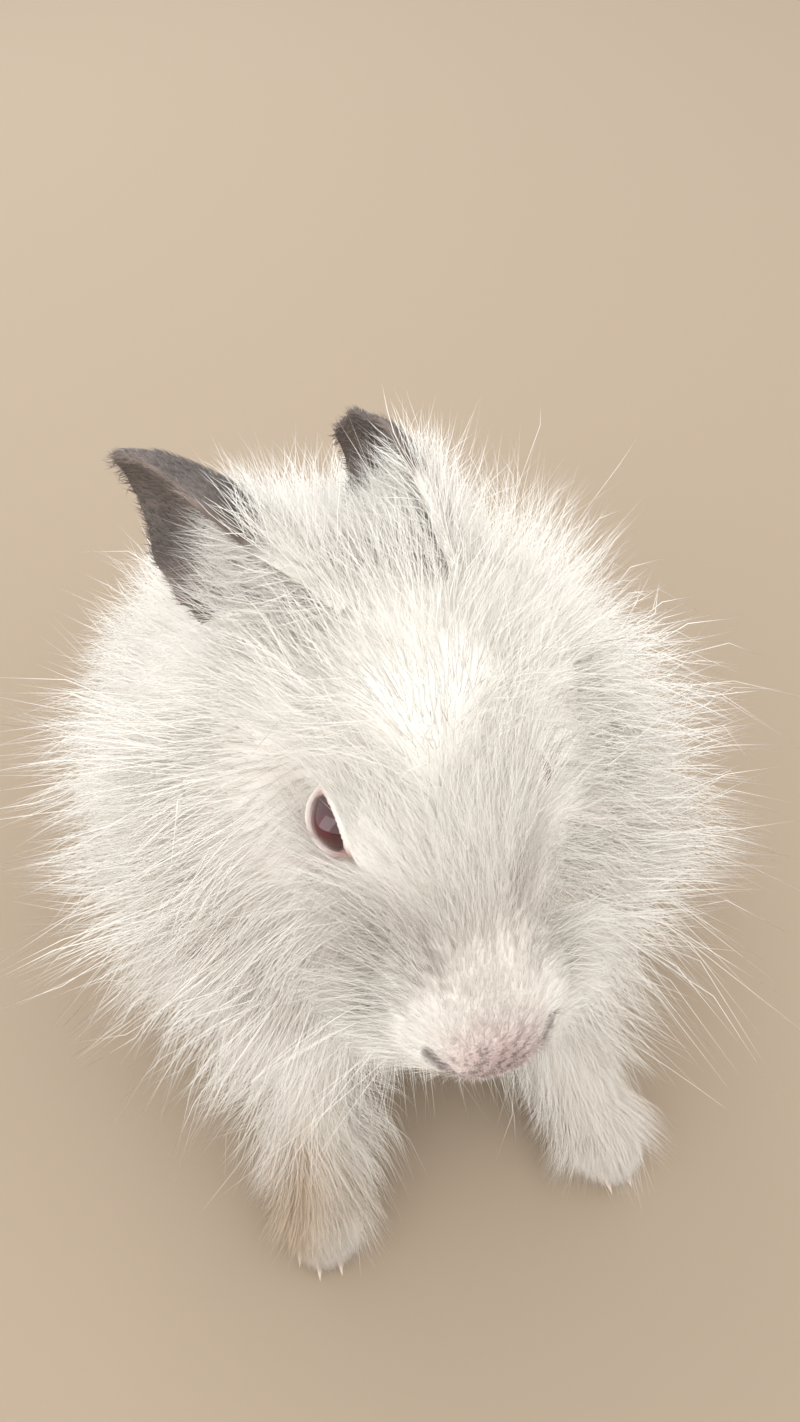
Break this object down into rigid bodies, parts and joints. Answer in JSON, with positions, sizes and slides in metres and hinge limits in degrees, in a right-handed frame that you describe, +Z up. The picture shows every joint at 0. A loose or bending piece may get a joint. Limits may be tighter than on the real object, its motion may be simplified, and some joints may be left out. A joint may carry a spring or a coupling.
{
  "type": "angora rabbit",
  "caption": "Long-coated white angora rabbit at rest on its feet, with dark ears laid back, ruby eyes, a wide ruff around the face and fluffy forelegs.",
  "frame": {"origin": "on the floor under the middle of the whole animal's box", "axes": "+Z up from the floor, -Y toward the nose, +X toward the animal's left side"},
  "size_m": [0.1902, 0.2473, 0.2102],
  "materials": {
    "coat": "long, soft, matte white wool, short on the face and feet",
    "ear": "short dark grey-brown hair over thin skin, matte",
    "eye": "wet, clear, dark ruby",
    "claw": "pale horn, satin"
  },
  "bodies": {
    "root": {"head": "coat", "neck": "coat", "torso": "coat", "tail": "coat", "haunch_right": "coat", "foreleg_right": "coat", "hind_foot_right": "coat", "ear_right": "ear", "eye_right": "eye", "haunch_left": "coat", "foreleg_left": "coat", "hind_foot_left": "coat", "ear_left": "ear", "eye_left": "eye", "claw_foreleg_right_1": "claw", "claw_foreleg_right_2": "claw", "claw_foreleg_right_3": "claw", "claw_foreleg_right_4": "claw", "claw_hind_foot_right_1": "claw", "claw_hind_foot_right_2": "claw", "claw_hind_foot_right_3": "claw", "claw_hind_foot_right_4": "claw", "claw_foreleg_left_1": "claw", "claw_foreleg_left_2": "claw", "claw_foreleg_left_3": "claw", "claw_foreleg_left_4": "claw", "claw_hind_foot_left_1": "claw", "claw_hind_foot_left_2": "claw", "claw_hind_foot_left_3": "claw", "claw_hind_foot_left_4": "claw"}
  },
  "joints": []
}
